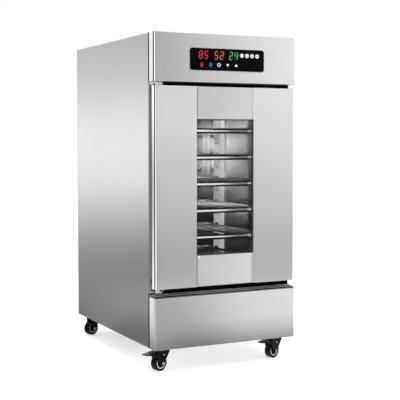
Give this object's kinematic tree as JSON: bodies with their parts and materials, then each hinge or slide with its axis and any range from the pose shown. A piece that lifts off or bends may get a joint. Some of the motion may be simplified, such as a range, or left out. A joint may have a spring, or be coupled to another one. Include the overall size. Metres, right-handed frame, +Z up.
{
  "type": "dough proofer cabinet",
  "caption": "Upright stainless steel dough proofer on swivel casters, with a windowed hinged door, wire shelves, warm air and steam, and a touch panel in the header.",
  "frame": {"origin": "on the floor, under the middle of the cabinet", "axes": "+Z up; the door faces -Y and its hinge side is at -X"},
  "size_m": [0.5301, 0.7115, 1.047],
  "materials": {
    "outer_steel": "polished",
    "inner_steel": "polished",
    "shelf_chrome": "polished",
    "foam": "matte",
    "zinc_steel": "satin",
    "caster_black": "gloss",
    "wheel_black": "gloss",
    "black_plastic": "matte",
    "window_glass": "clear",
    "gasket_grey": "matte",
    "panel_glass": "gloss",
    "key_white": "gloss",
    "board_green": "matte",
    "fan_alloy": "satin",
    "lamp_lens": "satin"
  },
  "bodies": {
    "cabinet": {"left_side_panel": "outer_steel", "right_side_panel": "outer_steel", "top_panel": "outer_steel", "base_panel": "outer_steel", "rear_panel": "outer_steel", "header_panel": "outer_steel", "kick_panel": "outer_steel", "front_frame": "outer_steel", "inner_lining": "inner_steel", "insulation": "foam", "rack_posts": "inner_steel", "shelf_clips": "inner_steel", "shelf_1": "shelf_chrome", "shelf_2": "shelf_chrome", "shelf_3": "shelf_chrome", "shelf_4": "shelf_chrome", "shelf_5": "shelf_chrome", "shelf_6": "shelf_chrome", "duct_panel": "inner_steel", "fan_motor": "black_plastic", "air_heater": "zinc_steel", "humidifier_tank": "inner_steel", "tank_lid": "inner_steel", "immersion_heater": "zinc_steel", "steam_duct": "inner_steel", "interior_lamp": "lamp_lens", "power_supply": "black_plastic", "power_inlet": "black_plastic", "control_glass": "panel_glass", "control_board": "board_green", "hinge_brackets": "zinc_steel", "caster_plates": "zinc_steel"},
    "door": {"door_hinge_panel": "outer_steel", "door_pull_panel": "outer_steel", "door_infill_panels": "outer_steel", "door_core": "foam", "door_liner": "inner_steel", "window_frame": "black_plastic", "window_panes": "window_glass", "door_gasket": "gasket_grey", "door_end_caps": "black_plastic"},
    "fan": {"fan_rotor": "fan_alloy"},
    "key_1": {"key_1": "key_white"},
    "key_2": {"key_2": "key_white"},
    "key_3": {"key_3": "key_white"},
    "key_4": {"key_4": "key_white"},
    "caster_front_left": {"caster_fork_front_left": "caster_black"},
    "caster_wheel_front_left": {"wheel_front_left": "wheel_black"},
    "brake_front_left": {"brake_pedal_front_left": "caster_black"},
    "caster_front_right": {"caster_fork_front_right": "caster_black"},
    "caster_wheel_front_right": {"wheel_front_right": "wheel_black"},
    "brake_front_right": {"brake_pedal_front_right": "caster_black"},
    "caster_rear_left": {"caster_fork_rear_left": "caster_black"},
    "caster_wheel_rear_left": {"wheel_rear_left": "wheel_black"},
    "caster_rear_right": {"caster_fork_rear_right": "caster_black"},
    "caster_wheel_rear_right": {"wheel_rear_right": "wheel_black"}
  },
  "joints": [
    {"name": "door_hinge", "type": "hinge", "parent": "cabinet", "child": "door", "pos_m": [-0.234, -0.3375, 0.56], "axis": [0, 0, -1], "range_deg": [0, 110]},
    {"name": "fan_spin", "type": "hinge", "parent": "cabinet", "child": "fan", "pos_m": [0, 0.2625, 0.632], "axis": [0, -1, 0], "continuous": true},
    {"name": "key_1_press", "type": "slide", "parent": "cabinet", "child": "key_1", "axis": [0, 1, 0], "range_m": [0, 0.0012], "stiffness_N_per_m": 400, "springref_m": -0.001},
    {"name": "key_2_press", "type": "slide", "parent": "cabinet", "child": "key_2", "axis": [0, 1, 0], "range_m": [0, 0.0012], "stiffness_N_per_m": 400, "springref_m": -0.001},
    {"name": "key_3_press", "type": "slide", "parent": "cabinet", "child": "key_3", "axis": [0, 1, 0], "range_m": [0, 0.0012], "stiffness_N_per_m": 400, "springref_m": -0.001},
    {"name": "key_4_press", "type": "slide", "parent": "cabinet", "child": "key_4", "axis": [0, 1, 0], "range_m": [0, 0.0012], "stiffness_N_per_m": 400, "springref_m": -0.001},
    {"name": "swivel_front_left", "type": "hinge", "parent": "cabinet", "child": "caster_front_left", "pos_m": [-0.204, -0.3065, 0.06], "axis": [0, 0, 1], "continuous": true},
    {"name": "roll_front_left", "type": "hinge", "parent": "caster_front_left", "child": "caster_wheel_front_left", "pos_m": [-0.21904, -0.31197, 0.025], "axis": [-0.342, 0.9397, 0], "continuous": true},
    {"name": "brake_front_left_press", "type": "hinge", "parent": "caster_front_left", "child": "brake_front_left", "pos_m": [-0.23219, -0.31676, 0.054], "axis": [0.342, -0.9397, 0], "range_deg": [0, 15]},
    {"name": "swivel_front_right", "type": "hinge", "parent": "cabinet", "child": "caster_front_right", "pos_m": [0.204, -0.3065, 0.06], "axis": [0, 0, 1], "continuous": true},
    {"name": "roll_front_right", "type": "hinge", "parent": "caster_front_right", "child": "caster_wheel_front_right", "pos_m": [0.18896, -0.31197, 0.025], "axis": [-0.342, 0.9397, 0], "continuous": true},
    {"name": "brake_front_right_press", "type": "hinge", "parent": "caster_front_right", "child": "brake_front_right", "pos_m": [0.17581, -0.31676, 0.054], "axis": [0.342, -0.9397, 0], "range_deg": [0, 15]},
    {"name": "swivel_rear_left", "type": "hinge", "parent": "cabinet", "child": "caster_rear_left", "pos_m": [-0.204, 0.3065, 0.06], "axis": [0, 0, 1], "continuous": true},
    {"name": "roll_rear_left", "type": "hinge", "parent": "caster_rear_left", "child": "caster_wheel_rear_left", "pos_m": [-0.21904, 0.30103, 0.025], "axis": [-0.342, 0.9397, 0], "continuous": true},
    {"name": "swivel_rear_right", "type": "hinge", "parent": "cabinet", "child": "caster_rear_right", "pos_m": [0.204, 0.3065, 0.06], "axis": [0, 0, 1], "continuous": true},
    {"name": "roll_rear_right", "type": "hinge", "parent": "caster_rear_right", "child": "caster_wheel_rear_right", "pos_m": [0.18896, 0.30103, 0.025], "axis": [-0.342, 0.9397, 0], "continuous": true}
  ]
}
